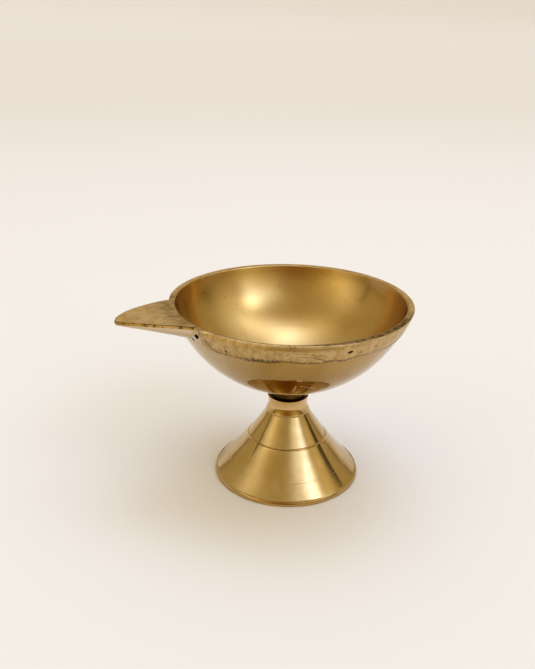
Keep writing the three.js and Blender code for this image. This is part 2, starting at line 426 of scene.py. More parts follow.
class OILLAMP_OT_bowl(bpy.types.Operator):
    """Build the bowl with its boss and leaf handle, one brass casting turned inside and below"""

    bl_idname = "oil_lamp.bowl"
    bl_label = "Bowl"

    def execute(self, context):
        sizes = context.scene.oil_lamp_bowl
        leaf = context.scene.oil_lamp_handle
        finish = context.scene.oil_lamp_finish
        slots = [
            turned_inside_brass(finish),
            turned_and_filed_brass(finish),
            filed_flat_brass(finish),
            cast_skin_brass(finish),
            oxide_and_painted_shade_in_pits(finish),
            grime_and_painted_shade_in_joint(finish),
        ]
        outside = bowl_outside(sizes)
        wear(outside, slots)
        finish_faces(outside, TURNED, lambda c, n: True)
        finish_faces(outside, FLAT, lambda c, n: n.z > 0.9 and c.z > RIM - 0.05 * MM)
        # The boss takes grime darkened as painted shade, where the bowl shades the neck.
        finish_faces(outside, GRIMY_AND_SHADED, lambda c, n: polar(c)[0] < sizes.boss_radius / MM + 0.05)
        notch = root_notch()
        wear(notch, slots)
        finish_faces(notch, TURNED, lambda c, n: True)
        join_or_cut(outside, notch, "DIFFERENCE")
        handle = leaf_handle(leaf)
        wear(handle, slots)
        keel_top = RIM - leaf.edge_depth
        finish_faces(handle, TURNED, lambda c, n: c.z < keel_top)
        finish_faces(handle, CAST, lambda c, n: c.z > keel_top and n.z < 0.9)
        finish_faces(handle, FLAT, lambda c, n: n.z >= 0.9)
        join_or_cut(outside, handle, "UNION")
        hollow = bowl_hollow(sizes)
        wear(hollow, slots)
        hole = tapped_hole()
        wear(hole, slots)
        finish_faces(hole, CAST, lambda c, n: True)
        tools = [hollow, hole]
        for pit in casting_pits(sizes):
            wear(pit, slots)
            # The pits take oxide; the crook's slit takes the same dark as painted shade.
            finish_faces(pit, PITTED, lambda c, n: True)
            tools.append(pit)
        join_or_cut(outside, join_objects(tools), "DIFFERENCE")
        soften(outside)
        outside.name = outside.data.name = "cast_bowl_with_handle"
        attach(outside, "bowl")
        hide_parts("bowl")
        return {"FINISHED"}


def bowl_outside(sizes):
    """The outside as a full body of revolution, with the band's edge wandering round it."""
    rim, radius = RIM / MM, sizes.rim_radius / MM
    step, band = sizes.band_step / MM, sizes.band_height / MM
    boss, seat = sizes.boss_radius / MM, SEAT / MM
    bottom = seat + sizes.boss_height / MM
    under = sizes.underside_radius / MM
    arcs = wall_arcs(bottom, under, radius - step, sizes.outside_turn, rim)
    start = boss + 0.12
    crease = bottom + under - math.sqrt(under**2 - start**2)
    profile = [(0, seat), (boss - 0.25, seat)]
    profile += arc((boss - 0.25, seat + 0.25), 0.25, 0.3, math.pi / 2, 3)
    profile += [(boss, crease - 0.12), (boss + 0.035, crease - 0.035)]
    profile += wall_profile(arcs, start, rim - band - 1.6, 44, 10)
    for depth in (band + 1.3, band + 1.0, band + 0.75, band + 0.5, band + 0.3, band + 0.15, band):
        profile.append((wall_radius(arcs, rim - depth), rim - depth))
    for lift, share in ((0.06, 0.45), (0.14, 0.8), (0.24, 1.0)):
        height = rim - band + lift
        profile.append((wall_radius(arcs, height) + step * share, height))
    rounding = 0.16
    heights = [rim - band + 0.24 + i * (band - 0.24 - rounding) / 15 for i in range(1, 16)]
    profile += [(wall_radius(arcs, h) + step, h) for h in heights]
    corner = wall_radius(arcs, rim - rounding) + step - rounding
    profile += arc((corner, rim - rounding), rounding, 1.9, math.pi, 4)
    profile += [(r, rim) for r in (34.6, 34.3, 34.0, 33.7, 33.4, 33.15, 0)]
    made = turn_on_the_lathe("bowl_outside", profile, sizes.steps)
    wander_band_edge(made, arcs, step, band)
    return made


def polar(point):
    """Radius in millimetres, angle in degrees and depth under the rim in millimetres."""
    x, y = point.x - AXIS_X, point.y
    return math.hypot(x, y) / MM, math.degrees(math.atan2(y, x)), (RIM - point.z) / MM


# Reach in mm of the moves that shape the band: below its foot, down from the rim, and of the corner
BELOW_BAND, STILL_RIM, FILED_CORNER = 4.5, 1.5, 2.2


def band_share(angle):
    """How proud the band stands: it dies away where the handle is."""
    return smooth((160 - abs(angle)) / 6)


def corner_filed_off(angle):
    """Width in millimetres of the rim's face that the file rounded off, at the front left."""
    widest = 1.9
    return widest * smooth((angle + 154) / 5) * smooth((-80 - angle) / 32)


def wander_band_edge(obj, arcs, step, band):
    """Moves the band's foot to where its edge runs, and rounds the rim where it is filed off."""
    for vertex in obj.data.vertices:
        radius, angle, depth = polar(vertex.co)
        if radius < 20 or depth > band + BELOW_BAND:
            continue
        shift = max(band_edge_depth(angle), 3.7) - band
        if depth < band:
            reach = (depth - STILL_RIM) / (band - STILL_RIM)
        else:
            reach = (band + BELOW_BAND - depth) / BELOW_BAND
        proud = radius - wall_radius(arcs, RIM / MM - depth)
        moved = depth + shift * smooth(reach)
        width = corner_filed_off(angle)
        if width > 0.02 and depth < FILED_CORNER:
            share = min(max((radius - RIM_RADIUS + width) / width, 0.0), 1.0)
            moved += 0.6 * width * share**1.7 * (1 - depth / FILED_CORNER)
        new_radius = wall_radius(arcs, RIM / MM - moved) + min(proud, proud * band_share(angle))
        a = math.radians(angle)
        vertex.co = (
            AXIS_X + new_radius * MM * math.cos(a),
            new_radius * MM * math.sin(a),
            RIM - moved * MM,
        )


# The crook beside the handle's root seen from above, as radius in mm and angle in degrees
NOTCH = (
    (37.0, -165.0), (34.0, -163.0), (33.6, -158.0), (33.7, -156.6),
    (34.05, -155.4), (34.6, -154.4), (35.3, -153.6), (37.0, -153.0),
)


def root_notch():
    """The crook that a round file left where the handle's front edge runs into the rim."""
    low, mid = RIM - 3.7 * MM, RIM - 2.7 * MM
    floor_radius = 35.2
    points = []
    for radius, angle in (*NOTCH, NOTCH[0]):
        a = math.radians(angle)
        points.append(Vector((AXIS_X + radius * MM * math.cos(a), radius * MM * math.sin(a), low)))
    made = start_at_a_point("root_notch", points[0])
    draw_on(points)
    bpy.ops.mesh.select_all(action="SELECT")
    bpy.ops.mesh.remove_doubles(threshold=1e-6)
    bpy.ops.mesh.edge_face_add()
    for rise in (mid - low, RIM + MM - mid):
        bpy.ops.mesh.extrude_region_move(TRANSFORM_OT_translate={"value": (0, 0, rise)})
    weld_and_face_out()
    bpy.ops.object.mode_set(mode="OBJECT")
    for vertex in made.data.vertices:
        radius, angle, depth = polar(vertex.co)
        if depth > 3 and radius < floor_radius:
            out = floor_radius / radius
            vertex.co.x = AXIS_X + (vertex.co.x - AXIS_X) * out
            vertex.co.y *= out
    return made


def bowl_hollow(sizes):
    """The hollow for the oil, with a softened edge at the rim, a little steeper by the handle."""
    rim, radius = RIM / MM, (sizes.rim_radius - sizes.rim_face) / MM
    bottom = (SEAT + sizes.boss_height + sizes.floor_thickness) / MM
    inside = sizes.inside_radius / MM
    arcs = wall_arcs(bottom, inside, radius, sizes.inside_turn, rim)
    rounding = 0.22
    profile = [(0, bottom)] + wall_profile(arcs, 0.35, rim - rounding, 44, 14)
    edge = profile[-1][0]
    profile += [(edge + 0.06, rim - 0.09), (edge + 0.16, rim - 0.02), (edge + 0.3, rim + 0.002)]
    profile += [(edge + 0.3, rim + 1), (0, rim + 1)]
    made = turn_on_the_lathe("bowl_hollow", profile, sizes.steps)
    # Where the wall leans out: round the handle in degrees, and down from the rim in mm
    handle_angle, reach, soft_edge = 160, 58, 40
    lean, steep_to, fades_over = 0.075, 7, 18
    for vertex in made.data.vertices:
        radius, angle, depth = polar(vertex.co)
        off = abs((angle - handle_angle + 180) % 360 - 180)
        share = smooth((reach - off) / soft_edge)
        if share > 0 and 0 < depth < steep_to + fades_over and radius > 5:
            left = 1 - smooth((depth - steep_to) / fades_over)
            out = lean * share * min(depth, steep_to) * left
            vertex.co.x += out * MM * math.cos(math.radians(angle))
            vertex.co.y += out * MM * math.sin(math.radians(angle))
    return made


def tapped_hole():
    """The blind hole in the boss for the joining stud."""
    low, high = SEAT / MM, STUD_HIGH.z / MM + 0.4
    profile = [(0, low - 1), (3.3, low - 1), (3.3, low), (3.05, low + 0.25)]
    profile += [(3.05, high - 0.2), (2.6, high), (0, high)]
    return turn_on_the_lathe("tapped_hole", profile, 48)


# Casting pits: angle in degrees, depth under the rim, half length, half height, half depth and how
# far the middle lies inside the wall's face, all in mm, and slant in degrees
# The slanted one at -162.9° is the slit in the crook by the handle, a shadow gap that takes the pits'
# dark as painted shade.
PITS = (
    (-85.3, 2.65, 0.76, 0.44, 0.5, 0.0, 20), (-140.8, 4.0, 0.32, 0.32, 0.3, 0.0, 0),
    (-157.9, 2.65, 1.15, 0.82, 1.0, 0.9, 0), (-162.9, 4.25, 1.1, 0.42, 1.3, 0.0, -30),
    (-71.5, 2.75, 0.6, 0.13, 0.12, 0.0, 0), (-108.5, 0.35, 0.3, 0.12, 0.2, 0.0, 0),
    (-97.0, 0.2, 0.5, 0.1, 0.15, 0.0, 0),
)


def casting_pits(sizes):
    """Gas holes that show in the filed band, and the slit in the crook by the handle's root."""
    rim = RIM / MM
    bottom = (SEAT + sizes.boss_height) / MM
    under = sizes.underside_radius / MM
    top = (sizes.rim_radius - sizes.band_step) / MM
    arcs = wall_arcs(bottom, under, top, sizes.outside_turn, rim)
    ragged, lumps_per_metre = 0.06 * MM, 1500
    pits = []
    for angle, depth, length, height, inward, sunk, slant in PITS:
        radius = wall_radius(arcs, rim - depth) + sizes.band_step / MM - sunk
        a = math.radians(angle)
        place = Vector((AXIS_X + radius * MM * math.cos(a), radius * MM * math.sin(a)))
        bpy.ops.object.select_all(action="DESELECT")
        bpy.ops.mesh.primitive_uv_sphere_add(
            segments=24,
            ring_count=12,
            radius=MM,
            location=(*place, RIM - depth * MM),
            rotation=(math.radians(slant), 0, a),
            scale=(inward, length, height),
        )
        pit = bpy.context.object
        bpy.ops.object.transform_apply(location=True, rotation=True, scale=True)
        for vertex in pit.data.vertices:
            vertex.co += ragged * noise.noise_vector(vertex.co * lumps_per_metre)
        pits.append(pit)
    return pits


# The leaf handle


def leaf_at(leaf, distance):
    """Half width, sideways middle and depth of the leaf, in metres, at a distance from the axis."""
    run = (distance - leaf.root) / (leaf.reach - leaf.root)
    share = min(max(run, 0.0), 1.0)
    inside = max(leaf.root - distance, 0.0)
    back = leaf.back_width * (1 - share**1.3) ** 0.62 + 0.4 * inside
    front = leaf.front_width * (1 - share**0.85) ** 0.62 + 0.55 * inside
    lean = leaf.tip_offset * share**5
    depth = leaf.root_depth + (leaf.tip_depth - leaf.root_depth) * share
    return (back + front) / 2, (back - front) / 2 - lean, depth


def leaf_handle(leaf):
    """The handle as a loft: one section drawn, then extruded and resized from root to tip."""
    inner = leaf.root - leaf.root_depth
    half, middle, depth = leaf_at(leaf, inner)
    edge_low = RIM - leaf.edge_depth
    rounding = 0.22 * MM
    side = []
    for i in range(5):
        a = math.pi / 2 * i / 4
        side.append((half - rounding * (1 - math.sin(a)), RIM - rounding * (1 - math.cos(a))))
    side += [(half, edge_low + 0.1 * MM), (half - 0.05 * MM, edge_low + 0.01 * MM)]
    keel = []
    for i in range(25):
        a = math.pi * i / 24
        drop = (depth - leaf.edge_depth) * math.sin(a) ** 0.9 + 0.02 * MM
        keel.append(((half - 0.14 * MM) * math.cos(a), edge_low - drop))
    outline = side + keel + [(-y, z) for y, z in reversed(side)]
    points = [Vector((AXIS_X - inner, middle + y, z)) for y, z in outline]
    made = start_at_a_point("leaf_handle", points[0])
    draw_on(points)
    bpy.ops.mesh.select_all(action="SELECT")
    bpy.ops.mesh.edge_face_add()
    stations = [leaf.root]
    for i in range(1, leaf.stations + 1):
        share = math.sin(math.pi / 2 * i / (leaf.stations + 0.6))
        stations.append(leaf.root + (leaf.reach - leaf.root) * share)
    here, height = inner, 1.0
    nose_length = 0.7 * MM
    for distance in stations:
        last = (half, middle, depth)
        half, middle, depth = leaf_at(leaf, distance)
        step = (here - distance, middle - last[1], 0)
        bpy.ops.mesh.extrude_region_move(TRANSFORM_OT_translate={"value": step})
        centre = (AXIS_X - distance, middle, edge_low)
        bpy.ops.transform.resize(value=(1, half / last[0], 1), center_override=centre)
        left = (leaf.reach - distance) / nose_length
        if left > 1:
            deepen = (depth - leaf.edge_depth) / (last[2] - leaf.edge_depth)
            select_end(made, AXIS_X - distance, edge_low)
            bpy.ops.transform.resize(value=(1, 1, deepen), center_override=centre)
            select_end(made, AXIS_X - distance, RIM + MM)
        else:
            lower = math.sqrt(1 - (1 - left) ** 2)
            centre = (AXIS_X - distance, middle, RIM - 0.5 * leaf.edge_depth)
            bpy.ops.transform.resize(value=(1, 1, lower / height), center_override=centre)
            height = lower
        here = distance
    tip = Vector((AXIS_X - leaf.reach, leaf_at(leaf, leaf.reach)[1], RIM - 0.5 * leaf.edge_depth))
    bpy.ops.mesh.extrude_region_move(TRANSFORM_OT_translate={"value": (0, 0, 0)})
    bpy.ops.mesh.merge(type="CENTER")
    mesh = bmesh.from_edit_mesh(made.data)
    for vertex in mesh.verts:
        if vertex.select:
            vertex.co = tip
    bmesh.update_edit_mesh(made.data)
    weld_and_face_out()
    bpy.ops.object.mode_set(mode="OBJECT")
    return made


def select_end(obj, x, below):
    """Selects the points of the section at x that lie below a height."""
    mesh = bmesh.from_edit_mesh(obj.data)
    for item in (*mesh.faces, *mesh.edges, *mesh.verts):
        item.select_set(False)
    for vertex in mesh.verts:
        if abs(vertex.co.x - x) < 2e-7:
            vertex.select_set(vertex.co.z < below)
    mesh.select_flush_mode()
    mesh.select_flush(True)
    bmesh.update_edit_mesh(obj.data)


class OILLAMP_OT_pedestal(bpy.types.Operator):
    """Build the pedestal: foot lip, flared cone with two cut rings, and spool-shaped neck"""

    bl_idname = "oil_lamp.pedestal"
    bl_label = "Pedestal"

    def execute(self, context):
        sizes = context.scene.oil_lamp_pedestal
        finish = context.scene.oil_lamp_finish
        profile = pedestal_profile(sizes)
        made = turn_on_the_lathe("turned_pedestal", profile, sizes.steps, closed=True)
        wear(made, [buffed_brass(finish), cast_skin_brass(finish), grime_and_painted_shade_in_joint(finish)])
        finish_faces(made, 1, lambda c, n: inside_the_foot(c, n, sizes))
        # The neck's top under the bowl takes grime darkened as painted shade.
        finish_faces(made, 2, lambda c, n: n.z > 0.9 and c.z > SEAT - 0.02 * MM)
        soften(made, 24)
        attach(made, "stand")
        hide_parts("pedestal")
        return {"FINISHED"}


def inside_the_foot(centre, normal, sizes):
    """True on the cast hollow under the foot and in the tapped hole."""
    x, y = centre.x - AXIS_X, centre.y
    inward = normal.x * x + normal.y * y < 0
    below_roof = normal.z < -0.9 and centre.z > 0.5 * sizes.hollow_height
    return (inward or below_roof) and centre.z > 0.1 * MM and centre.z < SEAT - 0.2 * MM


def pedestal_profile(sizes):
    """The closed profile of the pedestal, from the foot's outer corner upwards and back inside."""
    foot, lip = sizes.foot_radius / MM, sizes.lip_height / MM
    top_r, top_z = sizes.cone_top_radius / MM, sizes.cone_top_height / MM
    seat_r, seat_z = sizes.seat_radius / MM, SEAT / MM
    lip_top = foot - 0.35
    cone_foot, cone_top = (lip_top - 0.38, lip), (top_r, top_z)
    cone = hollow_arc(cone_foot, cone_top, sizes.flare_radius / MM, 60)
    outer = [
        (foot - 0.12, 0.0),
        (foot - 0.03, 0.05),
        (foot, 0.16),
        (foot - 0.02, 0.5),
        (lip_top + 0.06, lip - 0.2),
        (lip_top - 0.02, lip - 0.07),
        (lip_top - 0.12, lip - 0.02),
        (cone_foot[0] + 0.06, lip - 0.04),
    ]
    cone = cut_ring(cone, sizes.groove_height / MM, 0.46, 0.24, 0.04)
    cone = cut_ring(cone, sizes.scribe_height / MM, 0.2, 0.009, 0.03)
    outer += cone
    bevel = 0.15
    low, high = (top_r + 0.02, top_z + 0.55), (seat_r, seat_z - bevel)
    for out, rise in ((0.03, 0.1), (0.08, 0.38), (0.06, 0.48)):
        outer.append((top_r + out, top_z + rise))
    waist = (sizes.waist_radius / MM, low[1] + 0.44 * (high[1] - low[1]))
    outer += hollow_arc(low, waist, sizes.neck_flare / MM, 10)
    bend = math.dist(waist, high) ** 2 / (2 * (high[0] - waist[0]))
    outer += hollow_arc(waist, high, bend, 12)[1:]
    for inset, fall in ((0.02, 0.07), (0.07, 0.02), (0.16, 0.0)):
        outer.append((seat_r - inset, seat_z - fall))
    hole = sizes.thread_radius / MM + 0.05
    outer += [(hole + 0.3, seat_z), (hole, seat_z - 0.3)]
    roof = sizes.hollow_height / MM
    wall = sizes.wall / MM
    across, up = cone_top[0] - cone_foot[0], cone_top[1] - cone_foot[1]
    length = math.hypot(across, up)
    inward = (-up / length * wall, across / length * wall)
    flare = hollow_arc(cone_foot, cone_top, sizes.flare_radius / MM, 30)
    inner = [(r + inward[0], z + inward[1]) for r, z in flare]
    inner = [p for p in inner if 0.7 < p[1] < roof - 0.5]
    edge = foot - wall
    outer += [(hole, roof + 0.15), (hole + 0.15, roof)]
    last = inner[-1]
    slope = (inner[-1][0] - inner[-2][0]) / (inner[-1][1] - inner[-2][1])
    corner = last[0] + slope * (roof - last[1])
    outer += [(corner - 0.5, roof), (corner - 0.12, roof - 0.1), (corner + 0.12, roof - 0.35)]
    outer += list(reversed(inner))
    outer += [(edge, 0.35), (edge + 0.1, 0.0)]
    return outer


def cut_ring(points, height, width, depth, softness):
    """A pointed ring cut into a profile, with softened shoulders and bottom."""

    def at(z):
        for a, b in zip(points, points[1:]):
            if a[1] <= z < b[1]:
                share = (z - a[1]) / (b[1] - a[1])
                return a[0] + (b[0] - a[0]) * share
        raise ValueError("The ring lies outside the cone")

    half = width / 2
    slope = (at(height + half) - at(height - half)) / width
    length = math.hypot(1, slope)
    inward = (-1 / length, slope / length)
    cut = []
    shoulder, bottom = (0.82, 0.12), (0.12, 0.94)
    half_cut = ((1, 0.0), shoulder, bottom)
    for offset, share in (*((-o, s) for o, s in half_cut), *reversed(half_cut)):
        z = height + offset * half
        cut.append((at(z) + inward[0] * depth * share, z + inward[1] * depth * share))
    cut[0] = (cut[0][0] + softness * 0.3, cut[0][1])
    below = [p for p in points if p[1] < height - half - softness]
    above = [p for p in points if p[1] > height + half + softness]
    return below + cut + above


class OILLAMP_OT_stud(bpy.types.Operator):
    """Build the threaded stud that joins bowl and pedestal"""

    bl_idname = "oil_lamp.stud"
    bl_label = "Threaded stud"

    def execute(self, context):
        sizes = context.scene.oil_lamp_pedestal
        crest, pitch = sizes.thread_radius / MM - 0.03, sizes.thread_pitch / MM
        root = crest - 0.58 * pitch
        low, high = STUD_LOW.z / MM, STUD_HIGH.z / MM
        turns = round((high - low) / pitch) + 2
        begin = low - pitch
        tooth = [(root, 0.0), (root, 0.12), (crest, 0.45), (crest, 0.57), (root, 0.9), (root, 1.0)]
        points = [Vector((AXIS_X + r * MM, 0, (begin + t * pitch) * MM)) for r, t in tooth]
        made = start_at_a_point("threaded_rod", points[0])
        draw_on(points)
        bpy.ops.object.mode_set(mode="OBJECT")
        context.scene.cursor.location = (AXIS_X, 0, 0)
        bpy.ops.object.origin_set(type="ORIGIN_CURSOR")
        bpy.ops.object.modifier_add(type="SCREW")
        screw = made.modifiers[-1]
        screw.screw_offset = pitch * MM
        screw.iterations = turns
        screw.steps = screw.render_steps = 40
        screw.use_merge_vertices = False
        bpy.ops.object.modifier_apply(modifier=screw.name)
        bpy.ops.object.transform_apply(location=True)
        context.scene.cursor.location = (0, 0, 0)
        bpy.ops.object.mode_set(mode="EDIT")
        weld_and_face_out()
        for height, up in ((low, -1), (high, 1)):
            bpy.ops.mesh.select_all(action="SELECT")
            bpy.ops.mesh.bisect(
                plane_co=(AXIS_X, 0, height * MM),
                plane_no=(0, 0, up),
                use_fill=True,
                clear_outer=True,
                threshold=1e-7,
            )
        weld_and_face_out()
        bpy.ops.object.mode_set(mode="OBJECT")
        wear(made, [thread_cut_rod(context.scene.oil_lamp_finish)])
        soften(made, 25)
        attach(made, "stud")
        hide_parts("threaded_stud")
        return {"FINISHED"}


# Finishes


def about_the_axis(tree):
    """Object coordinates centred on the turning axis at the table, in metres."""
    place = add(tree, "TexCoord", output="Object")
    return add(tree, "Mapping", {"Vector": place, "Location": (-AXIS_X, 0, 0)})


def from_the_axis(tree, place):
    """Distance from the turning axis in millimetres."""
    level = add(tree, "VectorMath", [place, (1.0, 1.0, 0.0)], operation="MULTIPLY")
    radius = add(tree, "VectorMath", [level], "Value", operation="LENGTH")
    return add(tree, "Math", [radius, 1 / MM], operation="MULTIPLY")


def round_the_rim(tree, place):
    """Angle in degrees, depth under the rim in mm, and both laid flat in mm along the rim."""
    parts = add(tree, "SeparateXYZ", [place]).node.outputs
    turn = add(tree, "Math", [parts[1], parts[0]], operation="ARCTAN2")
    angle = add(tree, "Math", [turn], operation="DEGREES")
    depth = add(tree, "Math", [parts[2], -1 / MM, RIM / MM], operation="MULTIPLY_ADD")
    run = add(tree, "Math", [angle, math.radians(1) * RIM_RADIUS], operation="MULTIPLY")
    return angle, depth, add(tree, "CombineXYZ", [run, depth])


def turned_and_stretched(angle_deg, length, width):
    """Settings of a Mapping node that make 1 a length along an angle and a width across it."""
    return {"Rotation": (0.0, 0.0, math.radians(angle_deg)), "Scale": (length, width, 1.0)}


def spot(tree, place, middle, shape, strength=1.0):
    """A long spot with its angle, half length and half width: its strength inside, 0 outside."""
    inputs = {"Vector": place, "Location": (*middle, 0.0), **turned_and_stretched(*shape)}
    inside = add(tree, "Mapping", inputs, vector_type="TEXTURE")
    reach = add(tree, "VectorMath", [inside], "Value", operation="LENGTH")
    return add(tree, "MapRange", [reach, 1.0, 0.6, 0.0, strength], **SOFTLY)


def strokes(tree, flat, angle_deg, length, width, distortion=0.0):
    """A noise drawn out along an angle on the flattened rim, as a file's strokes are."""
    inputs = {"Vector": flat, **turned_and_stretched(angle_deg, length, width)}
    drawn_out = add(tree, "Mapping", inputs, vector_type="TEXTURE")
    return add(
        tree, "TexNoise", {"Vector": drawn_out, "Scale": 1.0, "Detail": 2.0, "Distortion": distortion}
    )


# Marks on the filed band: place as angle in degrees and depth under the rim in mm, slant in degrees,
# half length and half width in mm, and how dark
# The mark at -140.8° is painted shade round the pit there.
BAND_MARKS = (
    ((-153.6, 1.2), 85, 1.0, 0.4, 0.75), ((-154.0, 3.6), 98, 2.0, 0.3, 0.75),
    ((-150.6, 3.3), 50, 2.0, 1.3, 0.62), ((-147.6, 4.8), 6, 2.2, 0.6, 0.6),
    ((-145.5, 5.0), 5, 0.5, 0.25, 0.8), ((-140.8, 4.0), 0, 0.5, 0.5, 1.0),
    ((-138.8, 3.9), 0, 0.35, 0.25, 0.8), ((-111.6, 0.35), 35, 0.8, 0.22, 0.6),
    ((-110.0, 0.4), -35, 0.8, 0.22, 0.6), ((-107.1, 2.1), 7, 2.6, 0.16, 0.5),
    ((-105.1, 3.1), 3, 2.0, 0.2, 0.6), ((-100.6, 2.75), 13, 2.0, 0.16, 0.5),
    ((-99.1, 3.85), 18, 2.6, 0.22, 0.8), ((-93.9, 4.7), 10, 1.0, 0.2, 0.7),
    ((-91.5, 4.3), 31, 1.2, 0.2, 0.6), ((-89.1, 1.3), 0, 0.25, 0.25, 0.9),
    ((-88.4, 5.1), 12, 1.2, 0.25, 0.8), ((-85.2, 5.15), -10, 1.2, 0.3, 1.0),
    ((-79.2, 3.5), 0, 1.4, 0.2, 0.6), ((-69.6, 2.9), -8, 0.6, 0.18, 0.6),
    ((-61.8, 5.1), -14, 1.3, 0.35, 0.9), ((-58.1, 4.9), -5, 1.5, 0.4, 0.95),
    ((-53.1, 4.9), 0, 2.0, 0.4, 0.85),
)
# Scratches on the bowl's underside seen from above: place in mm from the axis, angle in degrees,
# half length and half width in mm
UNDER_SCRATCHES = (
    ((-7.6, -22.8), 81, 3.1, 0.42), ((-8.3, -27.1), 0, 0.4, 0.4),
    ((-7.5, -27.2), 0, 0.4, 0.4), ((-4.9, -25.1), 6, 2.8, 0.2),
)


def turned_inside_brass(finish):
    """Cast brass, turned and scoured inside: a satin bowl with brown bloom and fine specks."""
    material, tree, output = empty_material("turned_and_scoured_cast_brass")
    place = about_the_axis(tree)
    bloom = add(tree, "TexNoise", {"Vector": place, "Scale": 90.0, "Detail": 4.0})
    browned = add(tree, "MapRange", [bloom, 0.42, 0.72, 0.0, 0.4], **SOFTLY)
    tone = add(tree, "Mix", {0: browned, 6: finish.bright, 7: finish.aged}, **IN_COLOUR)
    specks = add(tree, "TexNoise", {"Vector": place, "Scale": 1300.0})
    specks = add(tree, "MapRange", [specks, 0.68, 0.76, 0.0, 0.5], **SOFTLY)
    tone = add(tree, "Mix", {0: specks, 6: tone, 7: finish.dirt_and_painted_shade}, **IN_COLOUR)
    fine = add(tree, "TexNoise", {"Vector": place, "Scale": 2400.0})
    angle, depth, _ = round_the_rim(tree, place)
    below = add(tree, "MapRange", [depth, 3.2, 5.7, 0.0, 0.12], **SOFTLY)
    scoured = any_of(tree, below, add(tree, "MapRange", [angle, 130.0, 120.0, 0.0, 0.14], **SOFTLY))
    beside = all_of(
        tree,
        add(tree, "MapRange", [angle, 132.0, 125.0, 0.0, 0.12], **SOFTLY),
        add(tree, "MapRange", [angle, 104.0, 114.0], **SOFTLY),
    )
    scoured = add(tree, "Math", [scoured, beside], operation="ADD")
    gloss = add(tree, "MapRange", [bloom, 0.3, 0.7, 0.06, 0.09], **SOFTLY)
    gloss = add(tree, "Math", [gloss, scoured], operation="ADD")
    metal(tree, output, tone, gloss, fine, 0.1, 0.004)
    return material


def buffed_brass(finish):
    """Brass turned on a lathe and buffed: clear reflections that waver with the buffing, and a paler
    band on the neck that is a painted reflection of the bright floor.
    """
    material, tree, output = empty_material("lathe_turned_buffed_brass")
    place = about_the_axis(tree)
    tone, gloss, waves = buffed_look(tree, place, finish.rubbed, finish, 0.0, 0.4)
    height = add(tree, "SeparateXYZ", [place], "Z")
    # A paler band on the neck: painted reflection of the bright floor.
    painted_sheen_on_the_neck = add(tree, "MapRange", [height, 21.4 * MM, 23.6 * MM], **SOFTLY)
    tone = add(tree, "Mix", {0: painted_sheen_on_the_neck, 6: tone, 7: finish.neck}, **IN_COLOUR)
    metal(tree, output, tone, gloss, waves, 0.04, 0.03)
    return material


def buffed_look(tree, place, clean, finish, least, most):
    """Colour, roughness and relief of buffed brass, with brown bloom and specks of oxide."""
    bloom = add(tree, "TexNoise", {"Vector": place, "Scale": 150.0, "Detail": 5.0})
    browned = add(tree, "MapRange", [bloom, 0.35, 0.68, least, most], **SOFTLY)
    tone = add(tree, "Mix", {0: browned, 6: clean, 7: finish.aged}, **IN_COLOUR)
    specks = add(tree, "TexNoise", {"Vector": place, "Scale": 1000.0})
    specks = add(tree, "MapRange", [specks, 0.72, 0.78, 0.0, 0.6], **SOFTLY)
    tone = add(tree, "Mix", {0: specks, 6: tone, 7: finish.dirt_and_painted_shade}, **IN_COLOUR)
    gloss = add(tree, "MapRange", [bloom, 0.3, 0.7, 0.04, 0.08], **SOFTLY)
    waves = add(tree, "TexNoise", {"Vector": place, "Scale": 280.0, "Detail": 1.0})
    return tone, gloss, waves


def edge_of_the_band(tree, angle):
    """Depth of the band's lower edge under the rim in mm, at an angle round the axis in degrees."""
    turn = add(tree, "Math", [angle, 1 / 360, 0.5], operation="MULTIPLY_ADD")
    curve = add(tree, "FloatCurve", {"Value": turn}).node
    deepest = 10.0
    edge_line = curve.mapping.curves[0]
    for i, (a, low) in enumerate(BAND_EDGE):
        at = ((a + 180) / 360, low / deepest)
        if i in (0, len(BAND_EDGE) - 1):
            point = edge_line.points[0 if i == 0 else -1]
            point.location = at
        else:
            point = edge_line.points.new(*at)
        point.handle_type = "VECTOR"
    curve.mapping.update()
    return add(tree, "Math", [curve.outputs[0], deepest], operation="MULTIPLY")


